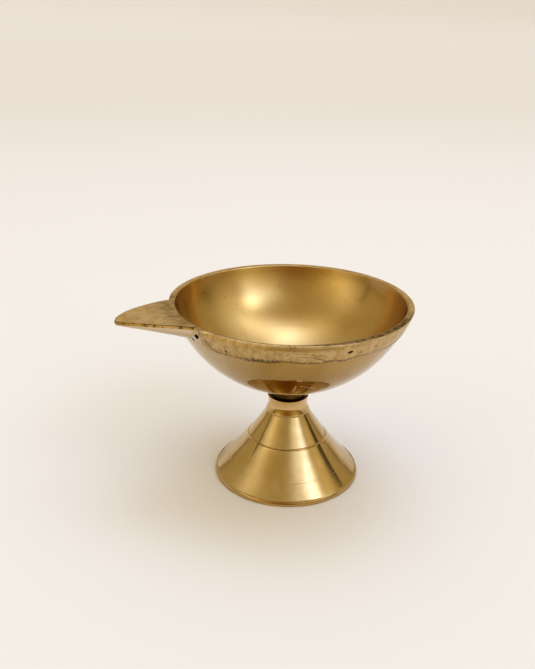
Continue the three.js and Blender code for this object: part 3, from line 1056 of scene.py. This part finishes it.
def dirt_and_painted_shade_in_the_band(tree, flat, angle, over):
    """Dirt in the file's strokes, in the marks and along the edge, which over is the height above; the
    mark round one pit is painted shade.
    """
    left = strokes(tree, flat, 54.0, 1.8, 0.34)
    right = strokes(tree, flat, -40.0, 1.8, 0.36)
    slant = add(tree, "MapRange", [angle, -119.0, -122.0], **SOFTLY)
    crossed = add(tree, "Mix", {0: slant, 2: right, 3: left})
    cuts = add(tree, "MapRange", [crossed, 0.42, 0.5], **SOFTLY)
    rough_start = add(tree, "MapRange", [angle, -136.0, -129.0], **SOFTLY)
    rough_end = add(tree, "MapRange", [angle, -114.0, -119.0], **SOFTLY)
    cuts = all_of(tree, rough_start, rough_end, add(tree, "MapRange", [over, 1.7, 0.6], **SOFTLY), cuts)
    broken = add(tree, "TexNoise", {"Vector": flat, "Scale": 2.2, "Detail": 3.0})
    broken = add(tree, "MapRange", [broken, 0.36, 0.5], **SOFTLY)
    off_line = add(tree, "Math", [over, 0.2], operation="SUBTRACT")
    line = add(tree, "Math", [off_line], operation="ABSOLUTE")
    line = add(tree, "MapRange", [line, 0.42, 0.12], **SOFTLY)
    fainter_right = add(tree, "MapRange", [angle, -45.0, -95.0, 0.5, 1.0], **SOFTLY)
    fainter_left = add(tree, "MapRange", [angle, -151.0, -143.0, 0.1, 1.0], **SOFTLY)
    line = all_of(tree, line, broken, fainter_right, fainter_left)
    waves_right = strokes(tree, flat, -3.0, 6.0, 0.7, 0.5)
    off_middle = add(tree, "Math", [waves_right, 0.5], operation="SUBTRACT")
    lines = add(tree, "Math", [off_middle], operation="ABSOLUTE")
    lines = add(tree, "MapRange", [lines, 0.03, 0.0], **SOFTLY)
    on_the_right = add(tree, "MapRange", [angle, -113.0, -105.0, 0.0, 0.4], **SOFTLY)
    here_and_there = add(tree, "TexNoise", {"Vector": flat, "Scale": 0.35})
    here_and_there = add(tree, "MapRange", [here_and_there, 0.45, 0.6], **SOFTLY)
    lines = all_of(tree, lines, on_the_right, here_and_there)
    ragged = add(tree, "TexNoise", {"Vector": flat, "Scale": 2.6, "Detail": 3.0})
    ragged = add(tree, "MapRange", [ragged, 0.36, 0.5, 0.4, 1.0], **SOFTLY)
    marks = []
    for middle, slope, length, width, strength in BAND_MARKS:
        run = math.radians(middle[0]) * RIM_RADIUS
        marks.append(spot(tree, flat, (run, middle[1]), (slope, length, width), strength))
    faint = add(tree, "MapRange", [crossed, 0.48, 0.62, 0.0, 0.3], **SOFTLY)
    faint = all_of(tree, faint, add(tree, "MapRange", [angle, -104.0, -112.0], **SOFTLY))
    marks = all_of(tree, any_of(tree, *marks), ragged)
    dark = any_of(tree, marks, lines, cuts, line, faint)
    return all_of(tree, dark, add(tree, "MapRange", [over, -0.3, -0.1], **SOFTLY))


def turned_and_filed_brass(finish):
    """Cast brass, buffed below and filed by hand in a band under the rim, with a ragged edge."""
    material, tree, output = empty_material("buffed_brass_with_filed_band")
    place = about_the_axis(tree)
    tone, gloss, waves = buffed_look(tree, place, finish.bright, finish, 0.45, 0.85)
    angle, depth, flat = round_the_rim(tree, place)
    turned_away = add(tree, "Math", [angle], operation="ABSOLUTE")
    at_root = add(tree, "MapRange", [turned_away, 158.5, 160.5], **SOFTLY)
    root = all_of(tree, at_root, add(tree, "MapRange", [depth, 5.5, 4.2], **SOFTLY))
    keel = from_the_axis(tree, place)
    keel = add(tree, "MapRange", [keel, 35.5, 36.1], **SOFTLY)
    # Paler scraped brass on the underside round towards the handle: a painted reflection of the
    # brighter floor on that side.
    rubbed = add(tree, "MapRange", [turned_away, 118.0, 150.0, 0.0, 0.5], **SOFTLY)
    tone = add(
        tree, "Mix", {0: any_of(tree, keel, root, rubbed), 6: tone, 7: finish.scraped}, **IN_COLOUR
    )
    edge = edge_of_the_band(tree, angle)
    teeth = add(tree, "TexNoise", {"Vector": flat, "Scale": 2.4, "Detail": 4.0})
    teeth = add(tree, "MapRange", [teeth, 0.3, 0.7, -0.35, 0.35], **SOFTLY)
    above_edge = add(tree, "Math", [edge, depth], operation="SUBTRACT")
    over = add(tree, "Math", [above_edge, teeth], operation="ADD")
    filed = add(tree, "MapRange", [over, -0.05, 0.1], **SOFTLY)
    dark = dirt_and_painted_shade_in_the_band(tree, flat, angle, over)
    mottle = add(tree, "TexNoise", {"Vector": place, "Scale": 600.0, "Detail": 5.0})
    mottle = add(tree, "MapRange", [mottle, 0.36, 0.68, 0.1, 0.6], **SOFTLY)
    tan = add(tree, "Mix", {0: mottle, 6: finish.filed, 7: finish.aged}, **IN_COLOUR)
    browned = add(tree, "Mix", {0: 0.28, 6: finish.aged, 7: finish.dirt_and_painted_shade}, **IN_COLOUR)
    from_left = add(tree, "MapRange", [angle, -132.0, -110.0], **SOFTLY)
    to_right = add(tree, "MapRange", [angle, -85.0, -97.0, 0.0, 0.7], **SOFTLY)
    at_top = all_of(tree, from_left, to_right, add(tree, "MapRange", [depth, 2.0, 0.6], **SOFTLY))
    tan = add(tree, "Mix", {0: at_top, 6: tan, 7: browned}, **IN_COLOUR)
    tone = add(tree, "Mix", {0: filed, 6: tone, 7: tan}, **IN_COLOUR)
    # Dirt in the band and, round one pit, painted shade.
    soiled_and_shaded = add(tree, "Math", [dark, 0.9], operation="MULTIPLY")
    tone = add(tree, "Mix", {0: soiled_and_shaded, 6: tone, 7: finish.dirt_and_painted_shade}, **IN_COLOUR)
    scratches = []
    for (x, y), slope, length, width in UNDER_SCRATCHES:
        shape = (slope, length * MM, width * MM)
        scratches.append(spot(tree, place, (x * MM, y * MM), shape))
    scratched = any_of(tree, *scratches)
    tone = add(tree, "Mix", {0: scratched, 6: tone, 7: finish.filed}, **IN_COLOUR)
    gloss = add(tree, "Math", [filed, 0.36, gloss], operation="MULTIPLY_ADD")
    gloss = add(tree, "Math", [scratched, 0.45, gloss], operation="MULTIPLY_ADD")
    relief = add(tree, "TexNoise", {"Vector": flat, "Scale": 3.0, "Detail": 4.0})
    relief = add(tree, "Math", [relief, 0.4], operation="MULTIPLY")
    relief = add(tree, "Math", [dark, -0.35, relief], operation="MULTIPLY_ADD")
    height = add(tree, "Math", [waves, 0.6], operation="MULTIPLY")
    step = add(tree, "Math", [relief, height], operation="SUBTRACT")
    height = add(tree, "Math", [step, filed, height], operation="MULTIPLY_ADD")
    metal(tree, output, tone, gloss, height, 0.06, 0.05)
    return material


def filed_flat_brass(finish):
    """Brass filed flat, on the rim's face and the handle's top: matt tan, browned at the front, paler
    than the filed band as painted light from above, and with painted shade on the handle's top by the
    rim.
    """
    material, tree, output = empty_material("filed_flat_cast_brass")
    place = about_the_axis(tree)
    angle, _, _ = round_the_rim(tree, place)
    radius = from_the_axis(tree, place)
    mottle = add(tree, "TexNoise", {"Vector": place, "Scale": 500.0, "Detail": 6.0})
    mottle = add(tree, "MapRange", [mottle, 0.35, 0.68, 0.1, 0.55], **SOFTLY)
    # The flat tops take a paler copy of the filed brass, as painted light from above.
    tone = add(tree, "Mix", {0: mottle, 6: finish.flat, 7: finish.aged}, **IN_COLOUR)
    from_left = add(tree, "MapRange", [angle, -118.0, -106.0, 0.0, 0.92], **SOFTLY)
    browned = all_of(tree, from_left, add(tree, "MapRange", [angle, -28.0, -48.0], **SOFTLY))
    inner_line = add(tree, "MapRange", [radius, 33.55, 33.3, 0.0, 0.8], **SOFTLY)
    on_handle = add(tree, "Math", [angle], operation="ABSOLUTE")
    on_handle = add(tree, "MapRange", [on_handle, 150.0, 158.0], **SOFTLY)
    # Painted shade on the handle's top next to the rim.
    painted_shade_by_rim = all_of(tree, add(tree, "MapRange", [radius, 40.0, 35.0, 0.0, 0.5], **SOFTLY), on_handle)
    patchy = add(tree, "TexNoise", {"Vector": place, "Scale": 500.0, "Detail": 4.0})
    patchy = add(tree, "MapRange", [patchy, 0.3, 0.62, 0.6, 1.0], **SOFTLY)
    dark = all_of(tree, patchy, any_of(tree, browned, inner_line, painted_shade_by_rim))
    tone = add(tree, "Mix", {0: dark, 6: tone, 7: finish.dirt_and_painted_shade}, **IN_COLOUR)
    fine = add(tree, "TexNoise", {"Vector": place, "Scale": 1500.0, "Detail": 4.0})
    gloss = add(tree, "MapRange", [mottle, 0.0, 0.8, 0.34, 0.42], **SOFTLY)
    metal(tree, output, tone, gloss, fine, 0.3, 0.02, linear("#f0dcc0"))
    return material


def cast_skin_brass(finish):
    """Brass with its casting skin on: golden brown and grainy, with small gas holes."""
    material, tree, output = empty_material("as_cast_brass_skin")
    place = about_the_axis(tree)
    _, depth, _ = round_the_rim(tree, place)
    holes = add(tree, "TexNoise", {"Vector": place, "Scale": 900.0, "Detail": 3.0})
    holes = add(tree, "MapRange", [holes, 0.56, 0.64, 0.0, 0.8], **SOFTLY)
    browned = add(tree, "TexNoise", {"Vector": place, "Scale": 260.0, "Detail": 4.0})
    browned = add(tree, "MapRange", [browned, 0.35, 0.65], **SOFTLY)
    tone = add(tree, "Mix", {0: browned, 6: finish.cast, 7: finish.aged}, **IN_COLOUR)
    broken = add(tree, "TexNoise", {"Vector": place, "Scale": 350.0})
    broken = add(tree, "MapRange", [broken, 0.4, 0.5, 0.0, 0.9], **SOFTLY)
    under_edge = all_of(tree, add(tree, "MapRange", [depth, 0.32, 0.12], **SOFTLY), broken)
    tone = add(tree, "Mix", {0: any_of(tree, holes, under_edge), 6: tone, 7: finish.dirt_and_painted_shade}, **IN_COLOUR)
    skin = add(tree, "Math", [1.0, holes], operation="SUBTRACT")
    metal(tree, output, tone, 0.28, skin, 0.15, 0.06)
    return material


def oxide_and_painted_shade_in_pits(finish):
    """Oxide and old oil in the gas holes, and painted shade in the slit of the crook by the handle:
    nearly black and dull.
    """
    material, tree, output = empty_material("oxidised_brass_and_painted_shade_in_pits")
    place = about_the_axis(tree)
    blotches = add(tree, "TexNoise", {"Vector": place, "Scale": 1500.0, "Detail": 3.0})
    tone = add(tree, "Mix", {0: blotches, 6: linear("#120b05"), 7: finish.dirt_and_painted_shade}, **IN_COLOUR)
    look = {"Base Color": tone, "Metallic": 0.2, "Roughness": 0.7}
    tree.links.new(add(tree, "BsdfPrincipled", look), output.inputs[0])
    return material


def grime_and_painted_shade_in_joint(finish):
    """Polish and oil gone brown where the bowl is screwed down, darkened further as painted shade
    between bowl and neck: brass shows through in places.
    """
    material, tree, output = empty_material("grimy_brass_with_painted_shade_in_joint")
    place = about_the_axis(tree)
    share = add(tree, "TexNoise", {"Vector": place, "Scale": 350.0, "Detail": 3.0})
    share = add(tree, "MapRange", [share, 0.35, 0.65, 0.72, 0.95], **SOFTLY)
    tone = add(tree, "Mix", {0: share, 6: finish.aged, 7: finish.dirt_and_painted_shade}, **IN_COLOUR)
    look = {"Base Color": tone, "Metallic": 1.0, "Roughness": 0.25}
    tree.links.new(add(tree, "BsdfPrincipled", look), output.inputs[0])
    return material


def thread_cut_rod(finish):
    """Drawn brass rod with a cut thread: bright flanks with fine chatter."""
    material, tree, output = empty_material("thread_cut_brass_rod")
    place = about_the_axis(tree)
    chatter = add(tree, "TexNoise", {"Vector": place, "Scale": 1200.0, "Detail": 3.0})
    tone = add(tree, "Mix", {0: chatter, 6: finish.bright, 7: finish.aged}, **IN_COLOUR)
    metal(tree, output, tone, 0.28, chatter, 0.2, 0.02)
    return material


# Stage

# Soft lamps far off: azimuth, elevation and spread in degrees, and light. Azimuth 0 is along +X.
SOFT_LAMPS = (
    (-60, 41, 7, (1.25, 1.45, 3.15)), (-52, 46, 6, (2.2, 2.55, 3.0)),
    (-79, 42, 10, (0.8, 1.0, 1.3)), (-60, 27, 6, (0.49, 0.73, 0.93)),
    (-70, 18, 14, (0.42, 0.39, 0.26)), (176, 34, 10, (0.4, 0.41, 0.42)),
    (-170, 22, 9, (0.42, 0.45, 0.43)), (-160, 20, 14, (0.4, 0.32, 0.14)),
    (60, 79, 9, (1.5, 2.1, 3.6)), (-2, 72, 12, (1.1, 1.2, 1.7)),
    (144, 73, 12, (0.62, 0.6, 0.53)), (-16, 55, 9, (0.95, 1.19, 1.44)),
    (68, 60, 14, (0.34, 0.48, 0.94)), (-29, 34, 7, (0.42, 0.4, 0.25)),
)
# Dark upright edges of the room: azimuth, half width in degrees, strength and the height, as the
# sine of its elevation, where each fades out
DARK_EDGES = ((-12, 5.5, 0.8, 0.36, 0.5), (159, 2.4, 0.7, 0.42, 0.47))
# Azimuth of the side that the camera looks from
FRONT = -112
# Light that comes from the parts of the room, and what shows past the floor
ROOM_LIGHT = {
    "near horizon": (0.35, 0.25, 0.07, 1),
    "far horizon": (0.44, 0.35, 0.2, 1),
    "higher up": (0.62, 0.52, 0.29, 1),
    "dark edge": (0.0, 0.0, 0.0, 1),
    "low in front": (0.39, 0.23, 0.045, 1),
    "dusk in front": (0.32, 0.13, 0.025, 1),
    "past the floor": (0.88, 0.83, 0.77, 1),
}


def direction(azimuth, elevation):
    a, e = math.radians(azimuth), math.radians(elevation)
    return Vector((math.cos(e) * math.cos(a), math.cos(e) * math.sin(a), math.sin(e)))


class OILLAMP_OT_stage(bpy.types.Operator):
    """Build the pale floor, the soft studio light and the camera"""

    bl_idname = "oil_lamp.stage"
    bl_label = "Stage"

    def execute(self, context):
        make_floor(context.scene.oil_lamp_finish)
        make_soft_light(context.scene)
        make_camera(context.scene)
        context.scene.view_settings.view_transform = "Standard"
        return {"FINISHED"}


def make_floor(finish):
    """A wide floor that ends in front of the lamp, and whose far edge sweeps up a little."""
    bpy.ops.object.select_all(action="DESELECT")
    middle, radius = (0.9, 2.3, -0.03 * MM), 3.0
    bpy.ops.mesh.primitive_circle_add(
        vertices=128, radius=radius, fill_type="NGON", location=middle
    )
    floor = bpy.context.object
    floor.name = floor.data.name = "floor"
    bpy.ops.object.transform_apply(location=True)
    bpy.ops.object.mode_set(mode="EDIT")
    bpy.ops.mesh.select_all(action="SELECT")
    bpy.ops.mesh.region_to_loop()
    for reach, rise in ((3.4, 0.02), (3.8, 0.06), (4.2, 0.14), (4.5, 0.26)):
        bpy.ops.mesh.extrude_edges_move(TRANSFORM_OT_translate={"value": (0, 0, rise)})
        grow = reach / radius
        bpy.ops.transform.resize(value=(grow, grow, 1), center_override=middle)
        radius = reach
    bpy.ops.mesh.select_all(action="SELECT")
    front = direction(FRONT, 0)
    bpy.ops.mesh.bisect(plane_co=front * 0.3, plane_no=front, clear_outer=True)
    bpy.ops.mesh.select_all(action="SELECT")
    bpy.ops.mesh.normals_make_consistent(inside=True)
    bpy.ops.object.mode_set(mode="OBJECT")
    if floor.data.polygons[0].normal.z < 0:
        floor.data.flip_normals()
    bpy.ops.object.shade_smooth()
    material, tree, output = empty_material("matt_painted_board")
    place = add(tree, "TexCoord", output="Object")
    # The floor darkens away from the lamp: painted fall-off of the light.
    away = add(tree, "VectorMath", [place, (0.1, -0.05, 0)], "Value", operation="DISTANCE")
    share = add(tree, "MapRange", [away, 0.1, 1.3], **SOFTLY)
    tone = add(tree, "Mix", {0: share, 6: finish.floor, 7: finish.floor_far_painted_shade}, **IN_COLOUR)
    look = {"Base Color": tone, "Roughness": 0.9, "Specular IOR Level": 0.1}
    tree.links.new(add(tree, "BsdfPrincipled", look), output.inputs[0])
    floor.data.materials.append(material)


def glow(tree, look, azimuth, elevation, spread):
    """1 towards a place of the sky, fading softly round it."""
    toward = direction(azimuth, elevation)
    near = add(tree, "VectorMath", [look, toward], "Value", operation="DOT_PRODUCT")
    off = add(tree, "Math", [near, 1.0], operation="SUBTRACT")
    share = add(tree, "Math", [off, math.radians(spread) ** 2], operation="DIVIDE")
    return add(tree, "Math", [share], operation="EXPONENT")


def make_soft_light(scene):
    """The world: a dim warm room, darker low in front, with dark edges and soft lamps."""
    world = bpy.data.worlds.new("soft_studio")
    scene.world = world
    world.use_nodes = True
    tree = world.node_tree
    tree.nodes.clear()
    output = tree.nodes.new("ShaderNodeOutputWorld")
    look = add(tree, "TexCoord", output="Generated")
    up = add(tree, "SeparateXYZ", [look], "Z")
    far = add(tree, "VectorMath", [look, direction(FRONT + 180, 0)], "Value", operation="DOT_PRODUCT")
    far = add(tree, "MapRange", [far, -0.1, 0.5], **SOFTLY)
    near, beyond = ROOM_LIGHT["near horizon"], ROOM_LIGHT["far horizon"]
    horizon = add(tree, "Mix", {0: far, 6: near, 7: beyond}, **IN_COLOUR)
    higher = add(tree, "MapRange", [up, 0.08, 0.26], **SOFTLY)
    room = add(tree, "Mix", {0: higher, 6: horizon, 7: ROOM_LIGHT["higher up"]}, **IN_COLOUR)
    for azimuth, reach, strength, low, high in DARK_EDGES:
        toward = direction(azimuth, 0)
        sideways = Vector((-toward.y, toward.x, 0))
        off = add(tree, "VectorMath", [look, sideways], "Value", operation="DOT_PRODUCT")
        off = add(tree, "Math", [off], operation="ABSOLUTE")
        width = math.sin(math.radians(reach))
        share = add(tree, "MapRange", [off, 1.4 * width, 0.6 * width, 0.0, strength], **SOFTLY)
        ahead = add(tree, "VectorMath", [look, toward], "Value", operation="DOT_PRODUCT")
        ahead = add(tree, "Math", [ahead, 0.0], operation="GREATER_THAN")
        share = all_of(tree, share, ahead, add(tree, "MapRange", [up, high, low], **SOFTLY))
        room = add(tree, "Mix", {0: share, 6: room, 7: ROOM_LIGHT["dark edge"]}, **IN_COLOUR)
    low_front = add(tree, "VectorMath", [look, direction(FRONT, 0)], "Value", operation="DOT_PRODUCT")
    low_front = add(tree, "MapRange", [low_front, 0.6, 0.85], **SOFTLY)
    low_front = all_of(tree, low_front, add(tree, "MapRange", [up, 0.47, 0.14], **SOFTLY))
    room = add(tree, "Mix", {0: low_front, 6: room, 7: ROOM_LIGHT["low in front"]}, **IN_COLOUR)
    dusk = add(tree, "Math", [glow(tree, look, FRONT - 3, 15, 12), 0.7], operation="MULTIPLY")
    room = add(tree, "Mix", {0: dusk, 6: room, 7: ROOM_LIGHT["dusk in front"]}, **IN_COLOUR)
    light = room
    for azimuth, elevation, spread, shade in SOFT_LAMPS:
        shine = glow(tree, look, azimuth, elevation, spread)
        lamp = add(tree, "VectorMath", {0: shade, "Scale": shine}, operation="SCALE")
        light = add(tree, "VectorMath", [light, lamp], operation="ADD")
    seen = add(tree, "LightPath", output="Is Camera Ray")
    light = add(tree, "Mix", {0: seen, 6: light, 7: ROOM_LIGHT["past the floor"]}, **IN_COLOUR)
    back = add(tree, "Background", {"Color": light, "Strength": 1.0})
    tree.links.new(back, output.inputs[0])


def make_camera(scene):
    """A close camera, a little over the lamp and to the left of its handle's far side."""
    turn = (
        Matrix.Rotation(math.radians(-20.19), 3, "Z")
        @ Matrix.Rotation(math.radians(90 - 22.24), 3, "X")
        @ Matrix.Rotation(math.radians(1.06), 3, "Z")
    )
    bpy.ops.object.camera_add(location=(-0.06952, -0.19124, 0.12863), rotation=turn.to_euler())
    camera = bpy.context.object
    camera.name = camera.data.name = "camera"
    camera.data.lens = 41.18
    camera.data.sensor_width = 36.0
    camera.data.clip_start = 0.01
    scene.camera = camera


# Panel, registration and the run


class OILLAMP_PT_panel(bpy.types.Panel):
    """The oil lamp's pieces, sizes and colours"""

    bl_idname = "OILLAMP_PT_panel"
    bl_label = "Brass oil lamp"
    bl_space_type = "VIEW_3D"
    bl_region_type = "UI"
    bl_category = "Oil lamp"

    def draw(self, context):
        for group in SETTINGS:
            box = self.layout.box()
            settings = getattr(context.scene, group)
            for key in settings.bl_rna.properties.keys():
                if key not in ("rna_type", "name"):
                    box.prop(settings, key)
        for operator in OPERATORS:
            self.layout.operator(operator.bl_idname)


SETTINGS = {
    "oil_lamp_bowl": OilLampBowl,
    "oil_lamp_handle": OilLampHandle,
    "oil_lamp_pedestal": OilLampPedestal,
    "oil_lamp_finish": OilLampFinish,
}
OPERATORS = (OILLAMP_OT_pedestal, OILLAMP_OT_stud, OILLAMP_OT_bowl, OILLAMP_OT_stage)
CLASSES = (*SETTINGS.values(), *OPERATORS, OILLAMP_PT_panel)


def register():
    for entry in CLASSES:
        bpy.utils.register_class(entry)
    for name, group in SETTINGS.items():
        setattr(bpy.types.Scene, name, PointerProperty(type=group))


def unregister():
    for name in SETTINGS:
        delattr(bpy.types.Scene, name)
    for entry in reversed(CLASSES):
        bpy.utils.unregister_class(entry)


def main():
    register()
    bpy.ops.oil_lamp.pedestal()
    bpy.ops.oil_lamp.stud()
    bpy.ops.oil_lamp.bowl()
    bpy.ops.oil_lamp.stage()


if __name__ == "__main__":
    main()
